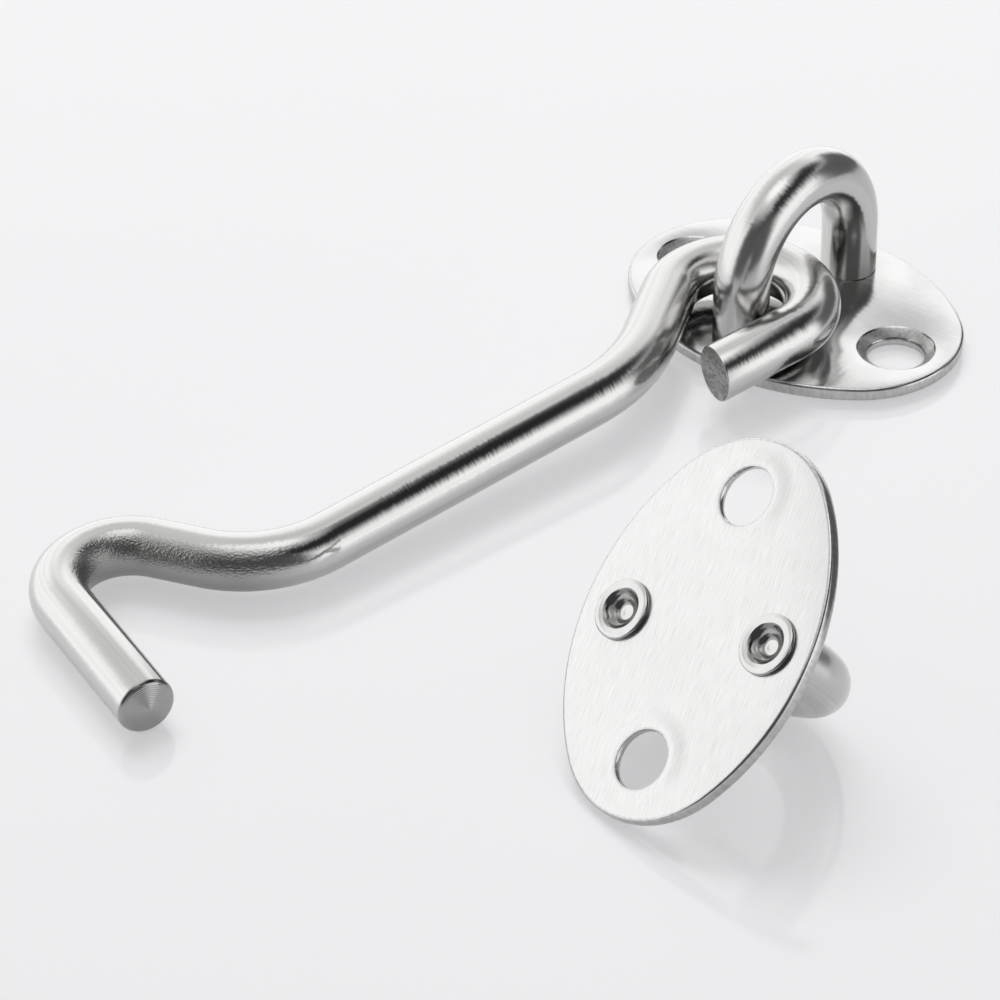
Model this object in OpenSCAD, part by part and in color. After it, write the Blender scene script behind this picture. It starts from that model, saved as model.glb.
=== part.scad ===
// Hook and eye latch in bent round rod: a hook linked to a riveted staple on an oval plate,
// and a matching eye, which is the same plate with a lower staple, lying face down beside the hook.
// The origin is the centre of the hook plate's back face, with +Z out of the surface it is screwed to,
// +Y along its screw holes and +X towards the free end of the hook.

/* [Rod] */
// Diameter of the round rod that the hook and both staples are bent from
rod_d = 6; // [5:0.1:7]

/* [Hook] */
// Straight tail at the open end of the loop
tail_length = 10.7; // [7:0.1:11.5]
// Slack of the loop all round the staple's leg when centred on it
loop_slack = 1.7; // [1:0.1:2.5]
// Angle that the loop is bent through
loop_turn = 214; // [205:1:222]
// Straight length from the loop to the gooseneck bend
neck_length = 8.6; // [6:0.1:14]
// Centre-line radius of the gooseneck bend
neck_bend_r = 22; // [12:0.5:28]
// Angle of the gooseneck bend
neck_turn = 33; // [26:1:38]
// Straight shank between the gooseneck and the dip
shank_length = 35.5; // [25:0.5:60]
// Centre-line radius of the bend at the end of the shank
dip_bend_r = 12.1; // [9:0.1:16]
// Angle of the bend at the end of the shank
dip_turn = 62; // [50:0.5:75]
// Straight length from that bend to the catch
rise_length = 5.3; // [2:0.1:9]
// Centre-line radius of the catch, the sharp bend that holds the eye
catch_bend_r = 6.8; // [5:0.1:9]
// Angle of the catch
catch_turn = 139; // [130:0.5:150]
// Straight tip after the catch
tip_length = 18.8; // [12:0.1:24]
// Chamfer round the end of the tip
tip_chamfer = 0.45; // [0.2:0.05:0.8]
// Height of the low cone turned on the end of the tip
tip_crown = 0.5; // [0.2:0.05:1]
// Slant of the cut across the end of the tail
tail_slant = 14; // [5:1:25]
// How much fuller the hook is through a bend than along a straight, on the diameter
bend_swell = 0.03; // [0.01:0.01:0.1]

/* [Staples] */
// Distance between the centre lines of a staple's legs
leg_spacing = 18.5; // [16.5:0.1:20.5]
// Straight part of each leg of the hook's staple, from the plate to the arch
leg_height = 5.7; // [3:0.1:8]
// Straight part of each leg of the eye's staple, which is a little lower
eye_leg_height = 4.2; // [3:0.1:6]
// Diameter of the tenon at the foot of each leg
tenon_d = 4.8; // [4:0.1:4.9]
// Clearance round the tenon in the plate
tenon_fit = 0.03; // [0.01:0.01:0.1]
// Diameter of the riveted head behind the plate
head_d = 6.2; // [5.6:0.1:7.5]
// Height of the riveted head behind the plate
head_h = 0.55; // [0.4:0.05:1]
// Rolled edge of the riveted head
head_edge = 0.25; // [0.1:0.05:0.35]
// Diameter of the punched dimple at the mouth
dimple_d = 4.2; // [3:0.1:4.5]
// Diameter of the punched dimple at its floor
dimple_floor_d = 1.5; // [0.8:0.1:2.5]
// Depth of the punched dimple
dimple_depth = 1.1; // [0.6:0.1:1.5]

/* [Plates] */
// Length of the oval plate
plate_length = 39.3; // [37:0.1:48]
// Width of the oval plate
plate_width = 29; // [28:0.1:33]
// Thickness of the plate
plate_t = 1.5; // [1.2:0.1:2.5]
// Radius of the plate's ends
plate_end_r = 11.5; // [10:0.1:12.5]
// Rounding of the plate's edges
plate_edge_r = 0.35; // [0.1:0.05:0.5]
// Distance between the screw holes
hole_spacing = 27.2; // [26:0.1:30]
// Diameter of the screw holes
hole_d = 6; // [4.5:0.1:6.5]
// Diameter of the countersink on the face
sink_d = 8.2; // [7:0.1:9.5]
// Depth of the countersink
sink_depth = 0.9; // [0.5:0.05:1]
// Diameter of the swelling that the pressed countersink leaves on the back
swell_d = 11; // [10:0.1:12]
// Height of that swelling
swell_h = 0.2; // [0.1:0.05:0.35]

/* [Lie of the parts] */
// Height of the loop's underside above the plate, beside the leg
loop_lift = 0.5; // [0.4:0.05:1]
// Gap left where the loop hangs against the leg
loop_gap = 0.45; // [0.3:0.05:1]
// Direction from the leg to the loop's centre
loop_lie = -133; // [-180:1:180]
// Direction of the shank, from +X
hook_heading = -7.2; // [-20:0.1:5]
// Distance of the eye from the hook plate, along X
eye_x = 65.3; // [60:0.1:150]
// Distance of the eye from the hook plate, along Y
eye_y = 39.1; // [36:0.1:150]
// Direction that the eye faces, about Z
eye_turn = -107.1; // [-112:0.1:-102]
// Lean of the eye, where 180 would be flat on its face
eye_lean = 135.8; // [130:0.1:140]
// Turn of the eye in the plane of its own plate
eye_roll = -21.4; // [-30:0.1:-16]

/* [Hidden] */
$fn = 96;

// Finishes
plate_steel = [0.80, 0.80, 0.79];
rod_steel = [0.70, 0.70, 0.71];

// Four-arc oval: the end arcs and the side arcs meet where their normals are one line,
// with the ends a hair small, so that they meet the sides at a definite edge
end_offset = plate_length / 2 - plate_end_r;
end_inset = plate_width / 2 - plate_end_r;
side_offset = (end_offset ^ 2 - end_inset ^ 2) / (2 * end_inset);
side_r = side_offset + plate_width / 2;
meeting_y = end_offset * (1 + plate_end_r / norm([side_offset, end_offset]));
end_set_in = 0.02;
edge_step = 30;

// How far a cutting shape runs past the face it cuts
cut = 1;

// The steps in which the hook is bent: feed, centre-line radius and turn, positive to the left
loop_r = rod_d + loop_slack;
hook_steps = [
    [tail_length, loop_r, loop_turn],
    [neck_length, neck_bend_r, -neck_turn],
    [shank_length, dip_bend_r, -dip_turn],
    [rise_length, catch_bend_r, catch_turn],
    [tip_length, 0, 0]
];
straight_d = rod_d - bend_swell;
bend_lap = 0.05;
tail_heading = neck_turn - loop_turn;
tail_spare = rod_d * tan(tail_slant);
loop_start = [-loop_r * sin(tail_heading), loop_r * cos(tail_heading)];
tail_start = -loop_start - tail_length * [cos(tail_heading), sin(tail_heading)];

// Where a bent rod ends, from a start point and heading
function after_bend(at, heading, r, turn) =
    at + r * sign(turn) * [sin(heading + turn) - sin(heading), cos(heading) - cos(heading + turn)];
function rod_end(steps, at, heading, i = 0) =
    i == len(steps) ? at :
    let (fed = at + steps[i][0] * [cos(heading), sin(heading)])
    rod_end(steps, after_bend(fed, heading, steps[i][1], steps[i][2]), heading + steps[i][2], i + 1);

// The hook lies with its loop over the plate and its tip on the surface under the plate's rivets
floor_z = -head_h;
leg_x = leg_spacing / 2;
loop_z = plate_t + loop_lift + rod_d / 2;
loop_shift = (loop_slack - loop_gap) * [cos(loop_lie), sin(loop_lie)];
tip_end = rod_end(hook_steps, tail_start, tail_heading);
tip_reach = loop_shift.x + tip_end.x * cos(hook_heading) - tip_end.y * sin(hook_heading);
hook_tilt = asin((loop_z - floor_z - rod_d / 2) / tip_reach);

// The eye stands on its plate's edge or its arch, whichever reaches further down
down = [-sin(eye_lean) * sin(eye_roll), -sin(eye_lean) * cos(eye_roll), -cos(eye_lean)];
down_flat = norm([down.x, down.y]);
rim_reach = abs(down.y) * side_offset > abs(down.x) * end_offset
    ? end_offset * abs(down.y) + (plate_end_r - plate_edge_r) * down_flat
    : (side_r - plate_edge_r) * down_flat - side_offset * abs(down.x);
plate_reach = rim_reach + (plate_t - plate_edge_r) * down.z + plate_edge_r;
arch_reach = (plate_t + eye_leg_height) * down.z + leg_x * norm([down.x, down.z]) + rod_d / 2;
eye_z = floor_z + max(plate_reach, arch_reach);

// Half section of a disc with rounded edges, to turn about its axis
module disc_section(r) {
    lower = [for (a = [-90:edge_step:0]) [r + plate_edge_r * (cos(a) - 1), plate_edge_r * (1 + sin(a))]];
    upper = [for (a = [0:edge_step:90]) [r + plate_edge_r * (cos(a) - 1), plate_t - plate_edge_r * (1 - sin(a))]];
    polygon(concat([[0, 0]], lower, upper, [[0, plate_t]]));
}

module round_edged_disc(r) {
    rotate_extrude()
        disc_section(r);
}

// The two side arcs cut off where the end arcs take over
module oval_blank() {
    intersection() {
        translate([-side_offset, 0, 0])
            round_edged_disc(side_r);
        translate([side_offset, 0, 0])
            round_edged_disc(side_r);
        translate([-plate_width, -meeting_y, -cut])
            cube([2 * plate_width, 2 * meeting_y, plate_t + 2 * cut]);
    }
    for (side = [-1, 1])
        translate([0, side * end_offset, 0])
            round_edged_disc(plate_end_r - end_set_in);
}

module screw_hole() {
    translate([0, 0, -swell_h - cut])
        cylinder(d = hole_d, h = plate_t + swell_h + 2 * cut);
    translate([0, 0, plate_t - sink_depth])
        cylinder(d1 = hole_d, d2 = sink_d, h = sink_depth);
    translate([0, 0, plate_t])
        cylinder(d = sink_d, h = cut);
}

// Oval plate in its own frame: back face at z = 0, countersinks in the front face
module oval_plate() {
    difference() {
        union() {
            oval_blank();
            for (side = [-1, 1])
                translate([0, side * hole_spacing / 2, -swell_h])
                    cylinder(d1 = hole_d + 2 * swell_h, d2 = swell_d, h = swell_h);
        }
        for (side = [-1, 1]) {
            translate([0, side * hole_spacing / 2, 0])
                screw_hole();
            translate([side * leg_x, 0, -cut])
                cylinder(d = tenon_d + 2 * tenon_fit, h = plate_t + 2 * cut);
        }
    }
}

// Tenon through the plate, flared and dimpled behind it
module riveted_tenon() {
    head_r = head_d / 2;
    rotate_extrude()
        polygon([
            [0, plate_t],
            [tenon_d / 2, plate_t],
            [tenon_d / 2, 0],
            [head_r - head_edge / 2, 0],
            [head_r, -head_edge / 2],
            [head_r, head_edge - head_h],
            [head_r - head_edge, -head_h],
            [dimple_d / 2, -head_h],
            [dimple_floor_d / 2, dimple_depth - head_h],
            [0, dimple_depth - head_h]
        ]);
}

// Staple in its plate's frame: shouldered legs, with the shoulders on the plate's front face
module staple(height) {
    for (side = [-1, 1])
        translate([side * leg_x, 0, 0]) {
            riveted_tenon();
            translate([0, 0, plate_t])
                cylinder(d = rod_d, h = height);
        }
    translate([0, 0, plate_t + height])
        rotate([90, 0, 0])
            rotate_extrude(angle = 180)
                translate([leg_x, 0])
                    circle(d = rod_d);
}

// One bend of the rod, starting at the origin along +X
module rod_bend(r, turn) {
    mirror([0, turn < 0 ? 1 : 0, 0])
        translate([0, r, 0])
            rotate([0, 0, -90])
                rotate_extrude(angle = abs(turn))
                    translate([r, 0])
                        circle(d = rod_d);
}

// The first straight, along +X, with the slanted cut across its end
module cut_tail() {
    difference() {
        translate([-tail_spare, 0, 0])
            rotate([0, 90, 0])
                cylinder(d = straight_d, h = tail_spare + tail_length + bend_lap);
        rotate([0, -90, -tail_slant])
            cylinder(r = rod_d / 2 + cut, h = 2 * tail_spare + cut);
    }
}

// The last straight, along +X, with its end turned to a chamfer and a low cone
module turned_tip() {
    r = straight_d / 2;
    rotate([0, 90, 0])
        rotate_extrude()
            polygon([
                [0, -bend_lap],
                [r, -bend_lap],
                [r, tip_length - tip_crown - tip_chamfer],
                [r - tip_chamfer, tip_length - tip_crown],
                [0, tip_length]
            ]);
}

// A rod fed along +X and bent step by step, from the tail to the tip, each straight lapping into its bends
module bent_rod(steps, i = 0) {
    if (i == 0)
        cut_tail();
    else if (i + 1 == len(steps))
        turned_tip();
    else
        translate([-bend_lap, 0, 0])
            rotate([0, 90, 0])
                cylinder(d = straight_d, h = steps[i][0] + 2 * bend_lap);
    if (i + 1 < len(steps))
        translate([steps[i][0], 0, 0]) {
            rod_bend(steps[i][1], steps[i][2]);
            translate(after_bend([0, 0], 0, steps[i][1], steps[i][2]))
                rotate([0, 0, steps[i][2]])
                    bent_rod(steps, i + 1);
        }
}

// Hook in its own plane: loop's centre at the origin, shank along +X
module hook_shape() {
    translate(tail_start)
        rotate([0, 0, tail_heading])
            bent_rod(hook_steps);
}

module lay_hook() {
    translate([leg_x, 0, loop_z])
        rotate([0, hook_tilt, 0])
            translate(loop_shift)
                rotate([0, 0, hook_heading])
                    children();
}

module lay_eye() {
    translate([eye_x, eye_y, eye_z])
        rotate([0, 0, eye_turn])
            rotate([eye_lean, 0, 0])
                rotate([0, 0, eye_roll])
                    children();
}

module hook_plate() {
    color(plate_steel) oval_plate();
}

module hook_staple() {
    color(rod_steel) staple(leg_height);
}

module hook() {
    color(rod_steel) lay_hook() hook_shape();
}

module eye_plate() {
    color(plate_steel) lay_eye() oval_plate();
}

module eye_staple() {
    color(rod_steel) lay_eye() staple(eye_leg_height);
}

hook_plate();
hook_staple();
hook();
eye_plate();
eye_staple();
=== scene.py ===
"""Dresses the hook and eye latch in polished rod and brushed plate, and sets it in a pale studio."""

import logging
import math
from dataclasses import dataclass, field
from enum import Enum, IntEnum
from typing import Iterable

import bmesh
import bpy
from bmesh.types import BMEdge, BMesh, BMFace, BMVert
from mathutils import Matrix, Vector


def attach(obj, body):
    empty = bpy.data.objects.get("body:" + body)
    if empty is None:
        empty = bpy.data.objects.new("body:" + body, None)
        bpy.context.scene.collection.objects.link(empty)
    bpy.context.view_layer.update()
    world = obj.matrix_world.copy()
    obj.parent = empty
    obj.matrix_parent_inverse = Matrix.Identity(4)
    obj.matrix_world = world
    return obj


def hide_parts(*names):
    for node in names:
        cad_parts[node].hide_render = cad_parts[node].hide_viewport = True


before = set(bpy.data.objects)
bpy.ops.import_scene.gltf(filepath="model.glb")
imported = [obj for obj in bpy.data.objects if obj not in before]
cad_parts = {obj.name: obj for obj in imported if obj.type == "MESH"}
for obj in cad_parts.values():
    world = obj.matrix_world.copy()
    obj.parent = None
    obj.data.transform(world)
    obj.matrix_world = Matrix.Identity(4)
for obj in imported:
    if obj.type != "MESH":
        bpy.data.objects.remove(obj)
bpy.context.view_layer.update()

LOG = logging.getLogger("latch")
MM = 0.001
CREASE_DEG = 40.0

# Vertex attributes: the place on the unbent rod or flat plate, and the rod's heading
BLANK = "blank"
RUN = "run"

# Colour sockets of a Mix node
MIX_A = 6
MIX_B = 7
MIX_RESULT = 2


class PlateZone(IntEnum):
    """The finishes of a plate, in the order of its material slots."""

    FRONT = 0
    BACK = 1
    RIM = 2
    SINK = 3


class RodZone(IntEnum):
    """The finishes of a rod, in the order of its material slots."""

    DRAWN = 0
    END = 1
    SAWN = 2
    RIVET = 3
    # The dimple and the head's side wall, coloured dark as painted shade
    PAINTED_SHADE = 4


class Slot(Enum):
    """The record's material slots."""

    PLATE = "plate_steel"
    ROD = "rod_steel"


class Graph:
    """A small hand for wiring shader nodes."""

    def __init__(self, tree: bpy.types.NodeTree) -> None:
        """Empties the tree.

        Args:
            tree: The node tree to fill.
        """
        self.tree = tree
        tree.nodes.clear()

    def node(self, kind: str, **settings: object) -> bpy.types.Node:
        """Adds a node.

        Args:
            kind: The node's type, without its ShaderNode prefix.
            settings: Properties to set on the node.

        Returns:
            The new node.
        """
        made = self.tree.nodes.new("ShaderNode" + kind)
        for key, value in settings.items():
            setattr(made, key, value)
        return made

    def feed(self, node: bpy.types.Node, socket: str | int, source: object) -> None:
        """Links a socket to an output, or sets it to a value.

        Args:
            node: The node that has the socket.
            socket: Name or number of the input.
            source: An output socket or a plain value.
        """
        if isinstance(source, bpy.types.NodeSocket):
            self.tree.links.new(source, node.inputs[socket])
        else:
            node.inputs[socket].default_value = source

    def math(self, operation: str, *values: object) -> bpy.types.NodeSocket:
        """Adds a Math node.

        Args:
            operation: The node's operation.
            values: Its values or outputs, in order.

        Returns:
            The result.
        """
        made = self.node("Math", operation=operation)
        for socket, value in enumerate(values):
            self.feed(made, socket, value)
        return made.outputs[0]

    def parts(self, vector: bpy.types.NodeSocket) -> list[bpy.types.NodeSocket]:
        """Gives a vector's x, y and z."""
        made = self.node("SeparateXYZ")
        self.feed(made, 0, vector)
        return list(made.outputs)

    def ramp(
        self, value: object, low: float, high: float, start: float = 0.0, end: float = 1.0
    ) -> bpy.types.NodeSocket:
        """Maps a value smoothly from one range to another.

        Args:
            value: The value or output to map.
            low: Where the change starts.
            high: Where the change ends.
            start: Result at low.
            end: Result at high.

        Returns:
            The mapped value.
        """
        made = self.node("MapRange", interpolation_type="SMOOTHSTEP")
        self.feed(made, "Value", value)
        self.feed(made, "From Min", low)
        self.feed(made, "From Max", high)
        self.feed(made, "To Min", start)
        self.feed(made, "To Max", end)
        return made.outputs["Result"]

    def blank(self) -> bpy.types.NodeSocket:
        """Gives the place on the unbent rod or flat plate, in metres."""
        return self.node("Attribute", attribute_name=BLANK).outputs["Vector"]

    def noise(
        self, place: bpy.types.NodeSocket, scale: tuple[float, float, float], detail: float
    ) -> bpy.types.NodeSocket:
        """Adds noise that can be drawn out along one way.

        Args:
            place: The coordinates.
            scale: How fast it changes along each axis, per metre.
            detail: Layers of finer noise.

        Returns:
            The noise, about 0.5 on average.
        """
        stretch = self.node("VectorMath", operation="MULTIPLY")
        self.feed(stretch, 0, place)
        self.feed(stretch, 1, scale)
        made = self.node("TexNoise")
        self.feed(made, "Vector", stretch.outputs[0])
        self.feed(made, "Scale", 1.0)
        self.feed(made, "Detail", detail)
        return made.outputs["Fac"]

    def vary(self, noise: bpy.types.NodeSocket, level: float, spread: float) -> bpy.types.NodeSocket:
        """Lets noise move a value up and down.

        Args:
            noise: The noise, about 0.5 on average.
            level: The value on average.
            spread: From the lowest value to the highest.

        Returns:
            The moving value.
        """
        return self.math("MULTIPLY_ADD", noise, spread, level - spread / 2)

    def round_rod(self) -> bpy.types.NodeSocket:
        """Gives the direction that runs round the rod, of unit length."""
        turn = self.node("VectorTransform", vector_type="VECTOR", convert_from="OBJECT", convert_to="WORLD")
        self.feed(turn, 0, self.node("Attribute", attribute_name=RUN).outputs["Vector"])
        across = self.node("VectorMath", operation="CROSS_PRODUCT")
        self.feed(across, 0, turn.outputs[0])
        self.feed(across, 1, self.node("NewGeometry").outputs["Normal"])
        unit = self.node("VectorMath", operation="NORMALIZE")
        self.feed(unit, 0, across.outputs[0])
        return unit.outputs[0]

    def combed(self, marks: bpy.types.NodeSocket, spread: float) -> bpy.types.NodeSocket:
        """Swings the normal round the rod, as fine belt marks do.

        Args:
            marks: Noise of the marks, about 0 on average.
            spread: How far the normal swings, in radians.

        Returns:
            The normal.
        """
        swing = self.node("VectorMath", operation="MULTIPLY_ADD")
        self.feed(swing, 0, self.round_rod())
        self.feed(swing, 1, self.math("MULTIPLY", marks, spread))
        self.feed(swing, 2, self.node("NewGeometry").outputs["Normal"])
        unit = self.node("VectorMath", operation="NORMALIZE")
        self.feed(unit, 0, swing.outputs[0])
        return unit.outputs[0]

    def mix(self, share: object, a: object, b: object) -> bpy.types.NodeSocket:
        """Mixes two colours.

        Args:
            share: How much of the second.
            a: First colour, as three numbers or an output.
            b: Second colour, likewise.

        Returns:
            The mixed colour.
        """
        made = self.node("Mix", data_type="RGBA")
        self.feed(made, 0, share)
        for socket, colour in ((MIX_A, a), (MIX_B, b)):
            self.feed(made, socket, (*colour, 1.0) if isinstance(colour, tuple) else colour)
        return made.outputs[MIX_RESULT]


class Finish(Graph):
    """A material with one shader, and the graph that feeds it."""

    def __init__(self, name: str) -> None:
        """Makes the material with a bare shader.

        Args:
            name: The material's name.
        """
        self.material = bpy.data.materials.new(name)
        self.material.use_nodes = True
        super().__init__(self.material.node_tree)
        self.shader = self.node("BsdfPrincipled")
        self.feed(self.node("OutputMaterial"), "Surface", self.shader.outputs[0])

    def set(self, socket: str, source: object) -> None:
        """Feeds one of the shader's sockets."""
        self.feed(self.shader, socket, source)

    def metal(self, colour: bpy.types.NodeSocket, roughness: object) -> None:
        """Makes the shader bare metal.

        Args:
            colour: The metal's colour.
            roughness: A value or an output.
        """
        self.set("Base Color", colour)
        self.set("Metallic", 1.0)
        self.set("Roughness", roughness)

    def emboss(self, height: bpy.types.NodeSocket, normal: bpy.types.NodeSocket | None = None) -> None:
        """Raises the surface.

        Args:
            height: How high it stands, in metres.
            normal: The normal to start from, if not the surface's own.
        """
        bump = self.node("Bump")
        self.feed(bump, "Height", height)
        self.feed(bump, "Distance", 1.0)
        if normal:
            self.feed(bump, "Normal", normal)
        self.set("Normal", bump.outputs[0])


@dataclass(frozen=True)
class DrawnRod:
    """Drawn and belt-polished round rod, rubbed dull inside the hook's dip and catch, where that side also
    has a painted dark reflection.
    """

    name: str = "drawn_rod"
    pale: tuple = (0.64, 0.636, 0.628)
    dull: tuple = (0.59, 0.586, 0.578)
    rubbed_dark_reflection: tuple = (0.38, 0.376, 0.37)
    shank_roughness: float = 0.12
    bent_roughness: float = 0.19
    rubbed_roughness: float = 0.12
    roughness_spread: float = 0.06
    shank_start: float = 62.0 * MM
    shank_fade: float = 12.0 * MM
    belt_scale: tuple = (6000.0, 700.0, 700.0)
    belt_spread: float = 0.24
    wear_scale: tuple = (150.0, 150.0, 150.0)
    line_scale: tuple = (40.0, 2400.0, 2400.0)
    line_depth: float = 0.0025 * MM
    grit_scale: tuple = (3000.0, 4200.0, 4200.0)
    grit_depth: float = 0.08 * MM
    rub_start: float = 102.0 * MM
    rub_end: float = 131.0 * MM
    rub_fade: float = 4.0 * MM
    rub_side: tuple = (0.6 * MM, 2.2 * MM)

    def rub_and_painted_reflection(
        self, f: Finish, along: bpy.types.NodeSocket, across: bpy.types.NodeSocket
    ) -> bpy.types.NodeSocket:
        """Picks out the side of the hook's end that the bending tool rubbed and that has a painted dark
        reflection.

        Args:
            f: The finish.
            along: How far along the unbent rod.
            across: How far from its axis, towards the inside of the catch.

        Returns:
            1 on the rubbed side with its painted dark reflection and 0 elsewhere.
        """
        begin = f.ramp(along, self.rub_start - self.rub_fade, self.rub_start + self.rub_fade)
        end = f.ramp(along, self.rub_end - self.rub_fade, self.rub_end + self.rub_fade, 1.0, 0.0)
        return f.math("MULTIPLY", f.math("MULTIPLY", begin, end), f.ramp(across, *self.rub_side))

    def make(self) -> bpy.types.Material:
        """Builds the material.

        Returns:
            The finish, on the rod's unbent coordinates.
        """
        f = Finish(self.name)
        at = f.blank()
        along, across, _ = f.parts(at)
        rub_and_painted_reflection = self.rub_and_painted_reflection(f, along, across)
        lines = f.noise(at, self.line_scale, 2.0)
        tone = f.mix(f.ramp(lines, 0.40, 0.75), self.pale, self.dull)
        bent, straight = self.shank_start - self.shank_fade, self.shank_start + self.shank_fade
        satin = f.ramp(along, bent, straight, self.bent_roughness, self.shank_roughness)
        satin = f.math("MULTIPLY_ADD", rub_and_painted_reflection, self.rubbed_roughness, satin)
        rough = f.math("ADD", f.vary(lines, 0.0, self.roughness_spread), satin)
        # The rubbed side's dark colour is a painted dark reflection; its grit and roughness are real wear.
        f.metal(f.mix(rub_and_painted_reflection, tone, self.rubbed_dark_reflection), rough)
        belt = f.math("SUBTRACT", f.noise(at, self.belt_scale, 3.0), 0.5)
        worn = f.ramp(f.noise(at, self.wear_scale, 2.0), 0.35, 0.62, 0.25, 1.0)
        grit = f.math("MULTIPLY", f.noise(at, self.grit_scale, 3.0), rub_and_painted_reflection)
        grit = f.math("MULTIPLY", grit, self.grit_depth)
        height = f.math("MULTIPLY_ADD", lines, self.line_depth, grit)
        f.emboss(height, f.combed(f.math("MULTIPLY", belt, worn), self.belt_spread))
        return f.material


@dataclass(frozen=True)
class TurnedEnd:
    """Rod end faced on a lathe, with fine rings round its centre."""

    name: str = "turned_end"
    colour: tuple = (0.46, 0.455, 0.45)
    roughness: float = 0.17
    ring_pitch: float = 0.20 * MM
    ring_depth: float = 0.006 * MM
    roughness_spread: float = 0.1
    shaded: float = 0.82
    cloud_scale: tuple = (900.0, 900.0, 900.0)
    wander_scale: tuple = (600.0, 600.0, 600.0)
    wander: float = 5.0
    anisotropy: float = 0.5

    def make(self) -> bpy.types.Material:
        """Builds the material.

        Returns:
            The finish, on the rod's unbent coordinates.
        """
        f = Finish(self.name)
        at = f.blank()
        _, y, z = f.parts(at)
        radius = f.math("SQRT", f.math("ADD", f.math("POWER", y, 2.0), f.math("POWER", z, 2.0)))
        wander = f.math("MULTIPLY", f.noise(at, self.wander_scale, 3.0), self.wander)
        turns = f.math("MULTIPLY_ADD", radius, 2.0 * math.pi / self.ring_pitch, wander)
        cloud = f.noise(at, self.cloud_scale, 4.0)
        tone = f.mix(cloud, self.colour, tuple(c * self.shaded for c in self.colour))
        f.metal(tone, f.vary(cloud, self.roughness, self.roughness_spread))
        f.emboss(f.math("MULTIPLY", f.math("SINE", turns), self.ring_depth))
        f.set("Anisotropic", self.anisotropy)
        f.set("Tangent", f.round_rod())
        return f.material


@dataclass(frozen=True)
class SawnEnd:
    """Rod end left as the saw cut it, with torn marks."""

    name: str = "sawn_end"
    colour: tuple = (0.44, 0.433, 0.425)
    shaded: float = 0.55
    roughness: float = 0.36
    tear_scale: tuple = (900.0, 1500.0, 3200.0)
    tear_depth: float = 0.08 * MM

    def make(self) -> bpy.types.Material:
        """Builds the material.

        Returns:
            The finish, on the rod's unbent coordinates.
        """
        f = Finish(self.name)
        tear = f.noise(f.blank(), self.tear_scale, 4.0)
        dark = tuple(c * self.shaded for c in self.colour)
        f.metal(f.mix(f.ramp(tear, 0.38, 0.62), self.colour, dark), self.roughness)
        f.emboss(f.math("MULTIPLY", tear, self.tear_depth))
        return f.material


@dataclass(frozen=True)
class BrushedPlate:
    """Back of a plate, brushed along its length."""

    name: str = "brushed_plate"
    pale: tuple = (0.68, 0.68, 0.676)
    dull: tuple = (0.61, 0.61, 0.605)
    roughness: float = 0.25
    roughness_spread: float = 0.10
    line_scale: tuple = (9500.0, 420.0, 9500.0)
    line_share: float = 0.8
    line_depth: float = 0.0014 * MM
    scratch_scale: tuple = (4200.0, 260.0, 4200.0)
    scratch_depth: float = 0.0014 * MM
    cloud_scale: tuple = (140.0, 140.0, 140.0)

    def make(self) -> bpy.types.Material:
        """Builds the material.

        Returns:
            The finish, on the flat plate's coordinates.
        """
        f = Finish(self.name)
        at = f.blank()
        lines = f.noise(at, self.line_scale, 2.0)
        scratches = f.ramp(f.noise(at, self.scratch_scale, 1.0), 0.60, 0.70)
        cloud = f.noise(at, self.cloud_scale, 3.0)
        brushed = f.math("MULTIPLY", lines, self.line_share)
        shade = f.math("MULTIPLY_ADD", cloud, 1.0 - self.line_share, brushed)
        tone = f.mix(f.ramp(shade, 0.36, 0.72), self.pale, self.dull)
        f.metal(tone, f.vary(lines, self.roughness, self.roughness_spread))
        height = f.math("MULTIPLY", lines, self.line_depth)
        f.emboss(f.math("MULTIPLY_ADD", scratches, -self.scratch_depth, height))
        return f.material


@dataclass(frozen=True)
class SatinPlate:
    """Front of a plate, polished to a satin with a faint ripple along its length."""

    name: str = "satin_plate"
    pale: tuple = (0.68, 0.68, 0.676)
    dull: tuple = (0.62, 0.62, 0.616)
    roughness: float = 0.13
    roughness_spread: float = 0.06
    ripple_scale: tuple = (2800.0, 380.0, 500.0)
    ripple_depth: float = 0.012 * MM
    cloud_scale: tuple = (220.0, 220.0, 220.0)

    def make(self) -> bpy.types.Material:
        """Builds the material.

        Returns:
            The finish, on the flat plate's coordinates.
        """
        f = Finish(self.name)
        at = f.blank()
        cloud = f.noise(at, self.cloud_scale, 3.0)
        tone = f.mix(f.ramp(cloud, 0.35, 0.70), self.pale, self.dull)
        f.metal(tone, f.vary(cloud, self.roughness, self.roughness_spread))
        f.emboss(f.math("MULTIPLY", f.noise(at, self.ripple_scale, 3.0), self.ripple_depth))
        return f.material


@dataclass(frozen=True)
class ShearedRim:
    """Rim of a plate as the press sheared it, with faint upright drag marks."""

    name: str = "sheared_rim"
    pale: tuple = (0.60, 0.596, 0.592)
    dull: tuple = (0.50, 0.496, 0.492)
    roughness: float = 0.15
    drag_scale: tuple = (2200.0, 2200.0, 700.0)
    drag_depth: float = 0.003 * MM

    def make(self) -> bpy.types.Material:
        """Builds the material.

        Returns:
            The finish, on the flat plate's coordinates.
        """
        f = Finish(self.name)
        drag = f.noise(f.blank(), self.drag_scale, 4.0)
        f.metal(f.mix(f.ramp(drag, 0.35, 0.7), self.pale, self.dull), self.roughness)
        f.emboss(f.math("MULTIPLY", drag, self.drag_depth))
        return f.material


@dataclass(frozen=True)
class PaleFloor:
    """White gloss board under the latch, lit from below as a product table is."""

    name: str = "pale_floor"
    colour: tuple = (0.83, 0.835, 0.845)
    roughness: float = 0.10
    glow: float = 0.36
    glow_colour: tuple = (0.98, 0.98, 1.0)

    def make(self) -> bpy.types.Material:
        """Builds the material.

        Returns:
            The finish.
        """
        f = Finish(self.name)
        f.set("Base Color", (*self.colour, 1.0))
        f.set("Roughness", self.roughness)
        f.set("Emission Color", (*self.glow_colour, 1.0))
        f.set("Emission Strength", self.glow)
        return f.material


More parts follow.
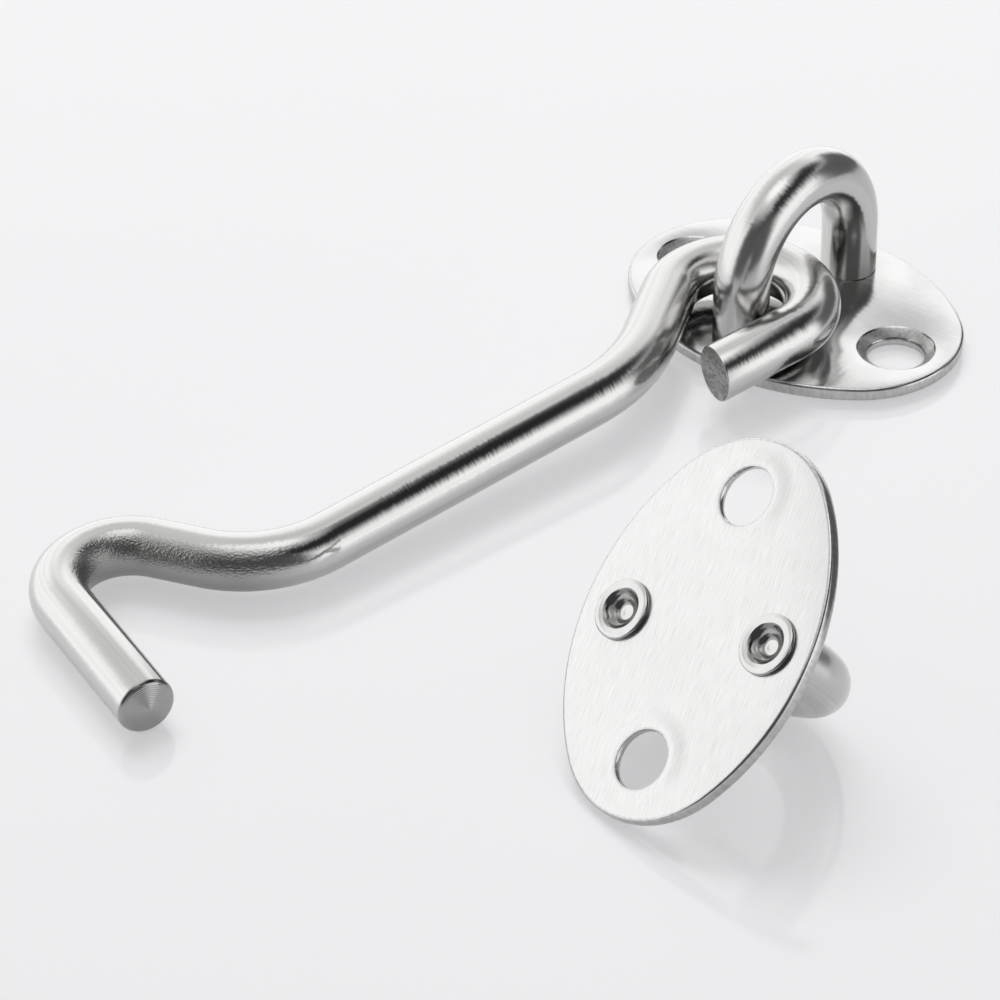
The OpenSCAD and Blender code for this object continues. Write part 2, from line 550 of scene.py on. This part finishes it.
def new_object(bm: BMesh, name: str, finishes: Iterable[bpy.types.Material]) -> bpy.types.Object:
    """Turns a bmesh into a shown object at the origin.

    Args:
        bm: The finished mesh, which is freed.
        name: The object's name.
        finishes: One material for each slot, in order.

    Returns:
        The object.
    """
    mesh = bpy.data.meshes.new(name)
    bm.to_mesh(mesh)
    bm.free()
    mesh.set_sharp_from_angle(angle=math.radians(CREASE_DEG))
    for finish in finishes:
        mesh.materials.append(finish)
    made = bpy.data.objects.new(name, mesh)
    bpy.context.scene.collection.objects.link(made)
    return made


@dataclass
class Piece:
    """What every piece of the latch has: its name, body, CAD node and place."""

    name: str
    body: str
    node: str
    place: Matrix

    def settle(self, bm: BMesh, finishes: dict, slot: Slot) -> bpy.types.Object:
        """Makes the mesh the piece that stands for its CAD node and rides on its body.

        Args:
            bm: The finished mesh, which is freed.
            finishes: A material for each zone, in the order of the zones.
            slot: The record's material slot; not used.

        Returns:
            The piece.
        """
        piece = new_object(bm, self.name, finishes.values())
        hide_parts(self.node)
        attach(piece, self.body)
        return piece


@dataclass
class RodBender:
    """Feeds a ring of edges into a rod, turning its ends and bending it on the way."""

    bm: BMesh
    at: Vector
    heading: Vector
    bend_axis: Vector
    radius: float
    sides: int = 72
    ring: list = field(default_factory=list)

    def start(self, zone: int, slant: float = 0.0) -> None:
        """Makes the closed first ring.

        Args:
            zone: Material slot of the face that closes it.
            slant: Angle of the ring to a square cut, in radians.
        """
        layers = self.bm.verts.layers.float_vector
        blank, run = layers.new(BLANK), layers.new(RUN)
        made = bmesh.ops.create_circle(self.bm, cap_ends=True, segments=self.sides, radius=self.radius)
        verts = made["verts"]
        for vert in verts:
            vert.co.z = vert.co.x * math.tan(slant)
            vert[blank] = Vector((vert.co.z, vert.co.x, vert.co.y))
            vert[run] = self.heading
        side = self.bend_axis.cross(self.heading)
        turn = Matrix((side, self.bend_axis, self.heading)).transposed().to_4x4()
        bmesh.ops.transform(self.bm, matrix=Matrix.Translation(self.at) @ turn, verts=verts)
        self.ring = list({edge for vert in verts for edge in vert.link_edges})
        for face in {face for vert in verts for face in vert.link_faces}:
            face.material_index = zone

    def ring_verts(self) -> list[BMVert]:
        """Gives the vertices of the open ring."""
        return list({vert for edge in self.ring for vert in edge.verts})

    def turn_to(self, radius: float, advance: float, zone: int) -> None:
        """Goes on to a ring of another radius.

        Args:
            radius: The new ring's radius.
            advance: How far along the heading it is, below 0 to go back.
            zone: Material slot of the faces made.
        """
        made = bmesh.ops.extrude_edge_only(self.bm, edges=self.ring)["geom"]
        verts = [item for item in made if isinstance(item, BMVert)]
        self.zone_faces(made, zone)
        scale = radius / self.radius
        centre = Matrix.Translation(-self.at)
        bmesh.ops.scale(self.bm, vec=(scale, scale, scale), space=centre, verts=verts)
        bmesh.ops.translate(self.bm, vec=self.heading * advance, verts=verts)
        self.take_ring(made, verts)
        self.radius = radius
        self.at = self.at + self.heading * advance
        self.mark(advance, scale)

    def bend(self, bend_radius: float, turn: float, steps: int, zone: int) -> None:
        """Bends the rod round a former.

        Args:
            bend_radius: Radius of the rod's centre line.
            turn: Angle about the bend axis, in radians.
            steps: Rings along the bend.
            zone: Material slot of the faces made.
        """
        side = self.bend_axis.cross(self.heading) * math.copysign(1.0, turn)
        centre = self.at + side * bend_radius
        spun = Matrix.Rotation(turn / steps, 3, self.bend_axis)
        for _ in range(steps):
            geom = self.ring_verts() + self.ring
            before = set(self.bm.faces)
            last = bmesh.ops.spin(
                self.bm, geom=geom, cent=centre, axis=self.bend_axis, dvec=(0.0, 0.0, 0.0),
                angle=turn / steps, steps=1, use_merge=False, use_duplicate=False,
            )["geom_last"]
            for face in set(self.bm.faces) - before:
                face.material_index = zone
            verts = [item for item in last if isinstance(item, BMVert)]
            self.take_ring(last, verts)
            self.at = centre + spun @ (self.at - centre)
            self.heading = spun @ self.heading
            self.mark(abs(turn) * bend_radius / steps, 1.0)

    def square_up(self) -> None:
        """Moves a slanted open ring square to the heading."""
        layer = self.bm.verts.layers.float_vector[BLANK]
        for vert in self.ring_verts():
            ahead = (vert.co - self.at).dot(self.heading)
            vert.co -= self.heading * ahead
            vert[layer].x -= ahead

    def close(self, zone: int) -> None:
        """Closes the open ring with a face.

        Args:
            zone: Material slot of the face.
        """
        for face in bmesh.ops.edgeloop_fill(self.bm, edges=self.ring)["faces"]:
            face.material_index = zone

    def take_ring(self, made: Iterable[object], verts: list[BMVert]) -> None:
        """Makes the edges between new vertices the open ring.

        Args:
            made: What an operator made.
            verts: The new vertices.
        """
        fresh = set(verts)
        self.ring = [item for item in made if isinstance(item, BMEdge) and set(item.verts) <= fresh]

    def mark(self, advance: float, scale: float) -> None:
        """Writes the open ring's place on the unbent rod.

        Args:
            advance: How far the ring has gone on.
            scale: How much wider it has become.
        """
        blank, run = (self.bm.verts.layers.float_vector[name] for name in (BLANK, RUN))
        for vert in self.ring_verts():
            old = vert[blank]
            vert[blank] = Vector((old.x + advance, old.y * scale, old.z * scale))
            vert[run] = self.heading

    @staticmethod
    def zone_faces(made: Iterable[object], zone: int) -> None:
        """Gives new faces their material slot.

        Args:
            made: What an operator made.
            zone: The material slot.
        """
        for item in made:
            if isinstance(item, BMFace):
                item.material_index = zone


def finish_rod(bm: BMesh, place: Matrix) -> None:
    """Makes a rod's faces smooth and outward, and puts it in its place.

    Args:
        bm: The rod's mesh.
        place: From the rod's own frame to the latch's.
    """
    bmesh.ops.recalc_face_normals(bm, faces=bm.faces)
    for face in bm.faces:
        face.smooth = True
    bmesh.ops.transform(bm, matrix=place, verts=bm.verts)
    run = bm.verts.layers.float_vector[RUN]
    turn = place.to_3x3()
    for vert in bm.verts:
        vert[run] = turn @ vert[run]


@dataclass
class OvalPlate(Piece):
    """Pressed oval plate, in its own frame with its back at z = 0."""

    length: float = 39.3 * MM
    width: float = 29.0 * MM
    thickness: float = 1.5 * MM
    end_radius: float = 11.5 * MM
    edge_radius: float = 0.35 * MM
    hole_spacing: float = 27.2 * MM
    hole_radius: float = 3.0 * MM
    sink_radius: float = 4.1 * MM
    sink_depth: float = 0.9 * MM
    swell_radius: float = 5.5 * MM
    swell_height: float = 0.2 * MM
    lip: float = 0.14 * MM
    leg_spacing: float = 18.5 * MM
    tenon_radius: float = 2.43 * MM
    end_steps: int = 44
    side_steps: int = 28
    edge_steps: int = 5
    hole_sides: int = 64

    def oval(self, bm: BMesh, set_in: float, z: float) -> list[BMEdge]:
        """Draws the oval's outline in four arcs.

        Args:
            bm: The mesh to draw in.
            set_in: How far inside the plate's outline it runs.
            z: Its height.

        Returns:
            The closed loop of edges.
        """
        end_offset = self.length / 2 - self.end_radius
        end_inset = self.width / 2 - self.end_radius
        side_offset = (end_offset**2 - end_inset**2) / (2 * end_inset)
        end_half = math.atan2(side_offset, end_offset)
        side_half = math.pi / 2 - end_half
        tilt = Vector((math.sin(end_half), math.cos(end_half), 0.0))
        first = Vector((0.0, end_offset, z)) + tilt * (self.end_radius - set_in)
        vert = bmesh.ops.create_vert(bm, co=first)["vert"][0]
        start = vert
        edges: set[BMEdge] = set()
        arcs = (
            (Vector((0.0, end_offset, z)), 2 * end_half, self.end_steps),
            (Vector((side_offset, 0.0, z)), 2 * side_half, self.side_steps),
            (Vector((0.0, -end_offset, z)), 2 * end_half, self.end_steps),
            (Vector((-side_offset, 0.0, z)), 2 * side_half, self.side_steps),
        )
        for centre, angle, steps in arcs:
            before = set(bm.edges)
            last = bmesh.ops.spin(
                bm, geom=[vert], cent=centre, axis=(0.0, 0.0, 1.0), dvec=(0.0, 0.0, 0.0),
                angle=angle, steps=steps, use_merge=False, use_duplicate=False,
            )["geom_last"]
            edges |= set(bm.edges) - before
            vert = next(item for item in last if isinstance(item, BMVert))
        bmesh.ops.weld_verts(bm, targetmap={vert: start})
        return [edge for edge in edges if edge.is_valid] + [
            edge for edge in start.link_edges if edge not in edges
        ]

    def circle(self, bm: BMesh, centre: tuple[float, float], radius: float, z: float) -> list[BMEdge]:
        """Draws a ring for a hole.

        Args:
            bm: The mesh to draw in.
            centre: Where the hole is.
            radius: The ring's radius.
            z: Its height.

        Returns:
            The closed loop of edges.
        """
        verts = bmesh.ops.create_circle(bm, cap_ends=False, segments=self.hole_sides, radius=radius)["verts"]
        bmesh.ops.translate(bm, vec=(centre[0], centre[1], z), verts=verts)
        return list({edge for vert in verts for edge in vert.link_edges})

    def wall(self, bm: BMesh, loops: list[list[BMEdge]], zone: PlateZone) -> None:
        """Joins loops one after another into a wall.

        Args:
            bm: The mesh.
            loops: The loops, in order.
            zone: The wall's finish.
        """
        for one, other in zip(loops, loops[1:]):
            for face in bmesh.ops.bridge_loops(bm, edges=one + other)["faces"]:
                face.material_index = zone
                face.smooth = True

    def screw_hole(self, bm: BMesh, y: float) -> tuple[list[BMEdge], list[BMEdge]]:
        """Makes a countersunk hole with the swelling that pressing it leaves behind.

        Args:
            bm: The mesh.
            y: Where the hole is along the plate.

        Returns:
            The hole's loops in the front face and in the back face.
        """
        top, sunk, lip = self.thickness, self.thickness - self.sink_depth, self.lip
        hole, sink, swell = self.hole_radius, self.sink_radius, self.swell_height
        front = [
            (sink + lip, top),
            (sink + lip * 0.3, top - lip * 0.3),
            (sink - lip * 0.6, top - lip),
            (hole + lip, sunk + lip),
            (hole, sunk - lip),
        ]
        back = [
            (hole, lip - swell),
            (hole + lip * 0.4, lip * 0.25 - swell),
            (hole + lip * 1.6, -swell),
            (hole + 0.8 * MM, -swell * 0.86),
            (hole + 1.4 * MM, -swell * 0.48),
            (hole + 2.0 * MM, -swell * 0.12),
            (self.swell_radius, 0.0),
        ]
        mouth = [self.circle(bm, (0.0, y), radius, z) for radius, z in front]
        tail = [self.circle(bm, (0.0, y), radius, z) for radius, z in back]
        self.wall(bm, mouth[:3], PlateZone.RIM)
        self.wall(bm, mouth[2:4], PlateZone.SINK)
        self.wall(bm, [*mouth[3:], *tail[:3]], PlateZone.RIM)
        self.wall(bm, tail[2:], PlateZone.BACK)
        return mouth[0], tail[-1]

    def build(self, finishes: dict[PlateZone, bpy.types.Material]) -> bpy.types.Object:
        """Builds the plate and sets it on its body.

        Args:
            finishes: A material for each zone.

        Returns:
            The piece.
        """
        bm = bmesh.new()
        top = self.thickness
        edge = self.edge_radius
        angles = [math.pi / 2 * step / self.edge_steps for step in range(self.edge_steps + 1)]
        lower = [(edge * (1 - math.sin(a)), edge * (1 - math.cos(a))) for a in angles]
        upper = [(edge * (1 - math.cos(a)), top - edge * (1 - math.sin(a))) for a in angles]
        rim = [self.oval(bm, set_in, z) for set_in, z in lower + upper]
        self.wall(bm, rim, PlateZone.RIM)
        front, back = list(rim[-1]), list(rim[0])
        for side in (-1.0, 1.0):
            mouth, tail = self.screw_hole(bm, side * self.hole_spacing / 2)
            front += mouth
            back += tail
            leg = (side * self.leg_spacing / 2, 0.0)
            bore = [self.circle(bm, leg, self.tenon_radius, z) for z in (0.0, top)]
            self.wall(bm, bore, PlateZone.SINK)
            back += bore[0]
            front += bore[1]
        for loops, z, zone in ((front, 1.0, PlateZone.FRONT), (back, -1.0, PlateZone.BACK)):
            filled = bmesh.ops.triangle_fill(
                bm, use_beauty=True, use_dissolve=False, edges=loops, normal=(0.0, 0.0, z)
            )
            for item in filled["geom"]:
                if isinstance(item, BMFace):
                    item.material_index = zone
                    item.smooth = False
        layer = bm.verts.layers.float_vector.new(BLANK)
        for vert in bm.verts:
            vert[layer] = vert.co
        bmesh.ops.recalc_face_normals(bm, faces=bm.faces)
        bmesh.ops.transform(bm, matrix=self.place, verts=bm.verts)
        return self.settle(bm, finishes, Slot.PLATE)


@dataclass
class RivetedStaple(Piece):
    """Bent staple with shouldered legs, riveted over behind its plate."""

    rod_radius: float = 3.0 * MM
    leg_spacing: float = 18.5 * MM
    leg_height: float = 5.7 * MM
    plate_thickness: float = 1.5 * MM
    tenon_radius: float = 2.4 * MM
    head_radius: float = 3.1 * MM
    head_height: float = 0.55 * MM
    head_edge: float = 0.25 * MM
    dimple_radius: float = 2.1 * MM
    dimple_floor: float = 0.75 * MM
    dimple_depth: float = 1.1 * MM
    foot_chamfer: float = 0.12 * MM
    head_steps: int = 4
    arch_steps: int = 96

    def foot(self) -> list[tuple[float, float]]:
        """Gives the foot's section, from the dimple's floor out to the leg.

        Returns:
            Radius and height of each ring, with the plate's back at 0.
        """
        back = -self.head_height
        edge = self.head_edge
        head = self.head_radius
        angles = [math.pi / 2 * step / self.head_steps for step in range(self.head_steps + 1)]
        roll = [(head - edge * (1 - math.sin(a)), back + edge * (1 - math.cos(a))) for a in angles]
        return [
            (self.dimple_floor, back + self.dimple_depth),
            (self.dimple_floor + 0.08 * MM, back + self.dimple_depth - 0.03 * MM),
            (self.dimple_radius - 0.10 * MM, back + 0.14 * MM),
            (self.dimple_radius, back + 0.05 * MM),
            (self.dimple_radius + 0.08 * MM, back),
            *roll,
            (head, -edge / 2),
            (head - edge / 2, 0.0),
            (self.tenon_radius, 0.0),
            (self.tenon_radius, self.plate_thickness),
            (self.rod_radius - self.foot_chamfer, self.plate_thickness),
            (self.rod_radius, self.plate_thickness + self.foot_chamfer),
        ]

    def zone(self, one: tuple[float, float], other: tuple[float, float]) -> RodZone:
        """Picks the finish between two rings of the foot.

        Args:
            one: Radius and height of a ring.
            other: Radius and height of the next.

        Returns:
            The finish of the faces between them.
        """
        radius, height = (sum(pair) / 2 for pair in zip(one, other))
        if height > 0.0 and radius > self.dimple_radius:
            return RodZone.DRAWN
        # Faces of the dimple and of the head's side wall beside the plate get the dark finish: painted
        # shade.
        if radius < self.dimple_radius or height > 0.5 * self.head_edge - self.head_height:
            return RodZone.PAINTED_SHADE
        return RodZone.RIVET

    def build(self, finishes: dict[RodZone, bpy.types.Material]) -> bpy.types.Object:
        """Builds the staple and sets it on its body.

        Args:
            finishes: A material for each zone.

        Returns:
            The piece.
        """
        bm = bmesh.new()
        section = self.foot()
        half = self.leg_spacing / 2
        start = Vector((-half, 0.0, section[0][1]))
        rod = RodBender(bm, start, Vector((0.0, 0.0, 1.0)), Vector((0.0, 1.0, 0.0)), section[0][0])
        rod.start(RodZone.RIVET)
        for one, other in zip(section, section[1:]):
            rod.turn_to(other[0], other[1] - one[1], self.zone(one, other))
        straight = self.leg_height - self.foot_chamfer
        rod.turn_to(self.rod_radius, straight, RodZone.DRAWN)
        rod.bend(half, math.pi, self.arch_steps, RodZone.DRAWN)
        rod.turn_to(self.rod_radius, straight, RodZone.DRAWN)
        for one, other in zip(section[::-1], section[-2::-1]):
            rod.turn_to(other[0], one[1] - other[1], self.zone(one, other))
        rod.close(RodZone.RIVET)
        finish_rod(bm, self.place)
        return self.settle(bm, finishes, Slot.ROD)


@dataclass
class BentHook(Piece):
    """Hook bent from one rod in its own plane.

    The loop's centre is at the origin and the shank runs along +X. The tip's round edge is a row of
    rings, each with its shares of the chamfer, first set in and then gone along.
    """

    rod_radius: float = 3.0 * MM
    tail_length: float = 10.7 * MM
    tail_slant: float = math.radians(14.0)
    loop_radius: float = 7.7 * MM
    loop_turn: float = math.radians(214.0)
    neck_length: float = 8.6 * MM
    neck_radius: float = 22.0 * MM
    neck_turn: float = math.radians(33.0)
    shank_length: float = 35.5 * MM
    dip_radius: float = 12.1 * MM
    dip_turn: float = math.radians(62.0)
    rise_length: float = 5.3 * MM
    catch_radius: float = 6.8 * MM
    catch_turn: float = math.radians(139.0)
    tip_length: float = 18.8 * MM
    tip_chamfer: float = 0.45 * MM
    tip_crown: float = 0.6 * MM
    tip_edge: tuple = ((0.06, 0.20), (0.26, 0.35), (0.60, 0.30), (1.0, 0.15))
    tip_rings: int = 8
    tip_point: float = 0.3
    tail_chamfer: float = 0.12 * MM
    degrees_a_step: float = 2.0
    least_steps: int = 4

    def steps(self, turn: float) -> int:
        """Gives the number of rings along a bend."""
        return max(self.least_steps, round(math.degrees(abs(turn)) / self.degrees_a_step))

    def build(self, finishes: dict[RodZone, bpy.types.Material]) -> bpy.types.Object:
        """Builds the hook and sets it on its body.

        Args:
            finishes: A material for each zone.

        Returns:
            The piece.
        """
        bm = bmesh.new()
        angle = self.neck_turn - self.loop_turn
        heading = Vector((math.cos(angle), math.sin(angle), 0.0))
        up = Vector((0.0, 0.0, 1.0))
        start = -up.cross(heading) * self.loop_radius - heading * self.tail_length
        full = self.rod_radius
        rod = RodBender(bm, start, heading, up, full - self.tail_chamfer)
        rod.start(RodZone.SAWN, self.tail_slant)
        rod.turn_to(full - self.tail_chamfer * 0.3, self.tail_chamfer * 0.3, RodZone.DRAWN)
        rod.turn_to(full, self.tail_chamfer * 0.7, RodZone.DRAWN)
        rod.turn_to(full, self.tail_length - self.tail_chamfer, RodZone.DRAWN)
        rod.square_up()
        rod.bend(self.loop_radius, self.loop_turn, self.steps(self.loop_turn), RodZone.DRAWN)
        rod.turn_to(full, self.neck_length, RodZone.DRAWN)
        rod.bend(self.neck_radius, -self.neck_turn, self.steps(self.neck_turn), RodZone.DRAWN)
        rod.turn_to(full, self.shank_length, RodZone.DRAWN)
        rod.bend(self.dip_radius, -self.dip_turn, self.steps(self.dip_turn), RodZone.DRAWN)
        rod.turn_to(full, self.rise_length, RodZone.DRAWN)
        rod.bend(self.catch_radius, self.catch_turn, self.steps(self.catch_turn), RodZone.DRAWN)
        straight = self.tip_length - self.tip_crown - self.tip_chamfer
        rod.turn_to(full, straight, RodZone.DRAWN)
        for set_in, advance in self.tip_edge:
            rod.turn_to(full - self.tip_chamfer * set_in, self.tip_chamfer * advance, RodZone.END)
        face = full - self.tip_chamfer
        whole = self.tip_rings + self.tip_point
        for ring in range(1, self.tip_rings + 1):
            rod.turn_to(face * (1.0 - ring / whole), self.tip_crown / whole, RodZone.END)
        rod.close(RodZone.END)
        finish_rod(bm, self.place)
        return self.settle(bm, finishes, Slot.ROD)


@dataclass(frozen=True)
class UnlitPart:
    """A part of the surround that is left dark, which the metal mirrors as a dark band.

    Its spread is the cosines of the angles to the bearing where it ends and where it is full. Its foot
    and top are the heights in the surround between which it comes and goes.
    """

    bearing_deg: float
    spread: tuple
    top: tuple
    depth: float = 1.0
    foot: tuple = (-2.0, -1.0)

    def darkness(
        self, g: Graph, level: bpy.types.NodeSocket, z: bpy.types.NodeSocket
    ) -> bpy.types.NodeSocket:
        """Picks out the part.

        Args:
            g: The world's graph.
            level: The level direction, of unit length.
            z: The height of the direction.

        Returns:
            The depth in the part and 0 away from it.
        """
        bearing = math.radians(self.bearing_deg)
        facing = g.node("VectorMath", operation="DOT_PRODUCT")
        g.feed(facing, 0, level)
        g.feed(facing, 1, (math.cos(bearing), math.sin(bearing), 0.0))
        side = g.ramp(facing.outputs["Value"], *self.spread)
        rise = g.math("MULTIPLY", g.ramp(z, *self.foot), g.ramp(z, *self.top, self.depth, 0.0))
        return g.math("MULTIPLY", side, rise)


@dataclass(frozen=True)
class Softbox:
    """A lamp that lights the floor and isn't mirrored in the metal."""

    name: str
    offset: tuple
    size: tuple
    watts: float

    def hang(self, middle: Vector) -> None:
        """Hangs the lamp over the latch, facing it.

        Args:
            middle: The middle of the latch.
        """
        lamp = bpy.data.lights.new(self.name, "AREA")
        lamp.shape = "RECTANGLE"
        lamp.size, lamp.size_y = self.size
        lamp.energy = self.watts
        holder = bpy.data.objects.new(self.name, lamp)
        holder.visible_glossy = False
        holder.location = middle + Vector(self.offset)
        holder.rotation_euler = (-Vector(self.offset)).to_track_quat("-Z", "Y").to_euler()
        bpy.context.scene.collection.objects.link(holder)


@dataclass(frozen=True)
class Studio:
    """Pale floor, soft light and the camera."""

    middle: tuple = (0.05, 0.01, 0.0)
    floor_z: float = -0.55 * MM
    floor_size: float = 6.0
    board_size: float = 0.24
    board_drop: float = 0.02 * MM
    board_glow: float = 0.28
    eye: tuple = (0.40813, 0.30972, 0.33586)
    ahead: tuple = (-0.6197, -0.5332, -0.5759)
    lens: float = 206.2
    horizon: tuple = (1.38, 1.38, 1.38)
    overhead: tuple = (0.84, 0.84, 0.84)
    zenith: tuple = (1.5, 1.5, 1.5)
    dark: tuple = (0.025, 0.025, 0.025)
    backdrop: tuple = (0.93, 0.93, 0.935)
    room: UnlitPart = UnlitPart(38.0, (0.50, 0.78), (0.70, 0.95), 0.93)
    wall: UnlitPart = UnlitPart(120.0, (0.40, 0.72), (0.82, 0.985), 1.0, (0.22, 0.70))
    door: UnlitPart = UnlitPart(165.0, (0.80, 0.92), (0.42, 0.60), 0.92)
    key: Softbox = Softbox("key", (-0.45, -0.55, 1.10), (0.8, 0.6), 4.2)
    fill: Softbox = Softbox("fill", (0.0, 0.0, 1.2), (6.0, 6.0), 45.0)

    def lay_board(
        self, name: str, size: float, drop: float, finish: bpy.types.Material
    ) -> bpy.types.Object:
        """Lays a board under the rivets, square to the camera.

        Args:
            name: The board's name.
            size: Length of its sides.
            drop: How far it lies below the rivets.
            finish: The board's material.

        Returns:
            The board.
        """
        bm = bmesh.new()
        bmesh.ops.create_grid(bm, x_segments=1, y_segments=1, size=size / 2)
        turn = Matrix.Rotation(math.atan2(self.ahead[1], self.ahead[0]), 4, "Z")
        bmesh.ops.transform(bm, matrix=turn, verts=bm.verts)
        down = Vector((0.0, 0.0, self.floor_z - drop))
        bmesh.ops.translate(bm, vec=Vector(self.middle) + down, verts=bm.verts)
        board = new_object(bm, name, [finish])
        return board

    def lay_floor(self) -> None:
        """Lays a wide floor for the camera and, just under it, the small board that the metal mirrors."""
        floor = self.lay_board("floor", self.floor_size, 0.0, PaleFloor().make())
        floor.visible_glossy = floor.visible_diffuse = floor.visible_shadow = False
        white = PaleFloor(name="mirrored_floor", glow=self.board_glow).make()
        board = self.lay_board("board", self.board_size, self.board_drop, white)
        board.visible_camera = False

    def light_sky(self) -> None:
        """Makes a white surround with its unlit parts, and a plain backdrop for the camera."""
        world = bpy.data.worlds.new("studio")
        bpy.context.scene.world = world
        world.use_nodes = True
        world.cycles_visibility.diffuse = False
        g = Graph(world.node_tree)
        x, y, z = g.parts(g.node("TexCoord").outputs["Generated"])
        flat = g.node("CombineXYZ")
        g.feed(flat, 0, x)
        g.feed(flat, 1, y)
        level = g.node("VectorMath", operation="NORMALIZE")
        g.feed(level, 0, flat.outputs[0])
        room, wall, door = (
            part.darkness(g, level.outputs[0], z) for part in (self.room, self.wall, self.door)
        )
        unlit = g.math("MAXIMUM", g.math("MAXIMUM", room, door), wall)
        low = g.mix(g.ramp(z, 0.48, 0.80), self.horizon, self.overhead)
        lit = g.mix(g.ramp(z, 0.94, 0.985), low, self.zenith)
        studio = g.node("Background")
        g.feed(studio, "Color", g.mix(unlit, lit, self.dark))
        white = g.node("Background")
        g.feed(white, "Color", (*self.backdrop, 1.0))
        choice = g.node("MixShader")
        g.feed(choice, 0, g.node("LightPath").outputs["Is Camera Ray"])
        g.feed(choice, 1, studio.outputs[0])
        g.feed(choice, 2, white.outputs[0])
        g.feed(g.node("OutputWorld"), "Surface", choice.outputs[0])

    def set_camera(self) -> None:
        """Puts the camera where the photograph was taken from."""
        data = bpy.data.cameras.new("camera")
        data.sensor_width = 36.0
        data.lens = self.lens
        data.clip_start = 0.01
        data.clip_end = 20.0
        camera = bpy.data.objects.new("camera", data)
        back = -Vector(self.ahead).normalized()
        right = Vector((0.0, 0.0, 1.0)).cross(back).normalized()
        turn = Matrix((right, back.cross(right), back)).transposed().to_4x4()
        camera.matrix_world = Matrix.Translation(self.eye) @ turn
        bpy.context.scene.collection.objects.link(camera)
        bpy.context.scene.camera = camera

    def build(self) -> None:
        """Sets up everything that isn't part of the latch."""
        self.lay_floor()
        self.light_sky()
        for lamp in (self.key, self.fill):
            lamp.hang(Vector(self.middle))
        self.set_camera()
        bpy.context.scene.view_settings.view_transform = "Standard"


@dataclass(frozen=True)
class Lie:
    """Where the hook and the eye lie."""

    leg: tuple = (9.25 * MM, 0.0, 5.0 * MM)
    hinge_lean: float = 0.02874823
    loop_shift: float = 1.25 * MM
    loop_lie: float = math.radians(-133.0)
    hook_heading: float = math.radians(-7.2)
    eye: tuple = (65.3 * MM, 39.1 * MM, 13.688 * MM)
    eye_turn: float = math.radians(-107.1)
    eye_lean: float = math.radians(135.8)
    eye_roll: float = math.radians(-21.4)

    def hook(self) -> Matrix:
        """Gives the hook's place, linked to the near leg and lying down to its tip.

        Returns:
            From the hook's own frame to the latch's.
        """
        tilt = Matrix.Translation(self.leg) @ Matrix.Rotation(math.asin(self.hinge_lean), 4, "Y")
        shift = Vector((math.cos(self.loop_lie), math.sin(self.loop_lie), 0.0)) * self.loop_shift
        return tilt @ Matrix.Translation(shift) @ Matrix.Rotation(self.hook_heading, 4, "Z")

    def loose_eye(self) -> Matrix:
        """Gives the eye's place, leaning on its own staple."""
        lean = Matrix.Rotation(self.eye_turn, 4, "Z") @ Matrix.Rotation(self.eye_lean, 4, "X")
        return Matrix.Translation(self.eye) @ lean @ Matrix.Rotation(self.eye_roll, 4, "Z")


def rod_finishes() -> dict[RodZone, bpy.types.Material]:
    """Makes the finishes of the rods.

    Returns:
        A material for each zone, in the order of the zones.
    """
    rivet = TurnedEnd("peened_head", (0.66, 0.655, 0.65), 0.10, 0.55 * MM, 0.009 * MM)
    # The dark colour in the dimple and on the head's side wall is painted shade.
    dimple = TurnedEnd("dimple_and_head_wall_painted_shade", (0.32, 0.317, 0.313), 0.14, 0.7 * MM, 0.03 * MM)
    return {
        RodZone.DRAWN: DrawnRod().make(),
        RodZone.END: TurnedEnd().make(),
        RodZone.SAWN: SawnEnd().make(),
        RodZone.RIVET: rivet.make(),
        RodZone.PAINTED_SHADE: dimple.make(),
    }


def plate_finishes() -> dict[PlateZone, bpy.types.Material]:
    """Makes the finishes of the plates.

    Returns:
        A material for each zone, in the order of the zones.
    """
    sink = ShearedRim(name="pressed_sink", pale=(0.70, 0.697, 0.692), roughness=0.42)
    return {
        PlateZone.FRONT: SatinPlate().make(),
        PlateZone.BACK: BrushedPlate().make(),
        PlateZone.RIM: ShearedRim().make(),
        PlateZone.SINK: sink.make(),
    }


def main() -> None:
    """Builds the latch and its studio."""
    logging.basicConfig(level=logging.INFO, format="%(name)s: %(message)s")
    rod = rod_finishes()
    plate = plate_finishes()
    lie = Lie()
    flat = Matrix.Identity(4)
    eye_legs = 4.2 * MM
    pieces = [
        OvalPlate("base_plate", "base", "hook_plate", flat).build(plate),
        RivetedStaple("base_staple", "base", "hook_staple", flat).build(rod),
        BentHook("bent_hook", "hook", "hook", lie.hook()).build(rod),
        OvalPlate("loose_plate", "eye", "eye_plate", lie.loose_eye()).build(plate),
        RivetedStaple("loose_staple", "eye", "eye_staple", lie.loose_eye(), leg_height=eye_legs).build(rod),
    ]
    for piece in pieces:
        LOG.info("%s: %d faces", piece.name, len(piece.data.polygons))
    Studio().build()


if __name__ == "__main__":
    main()
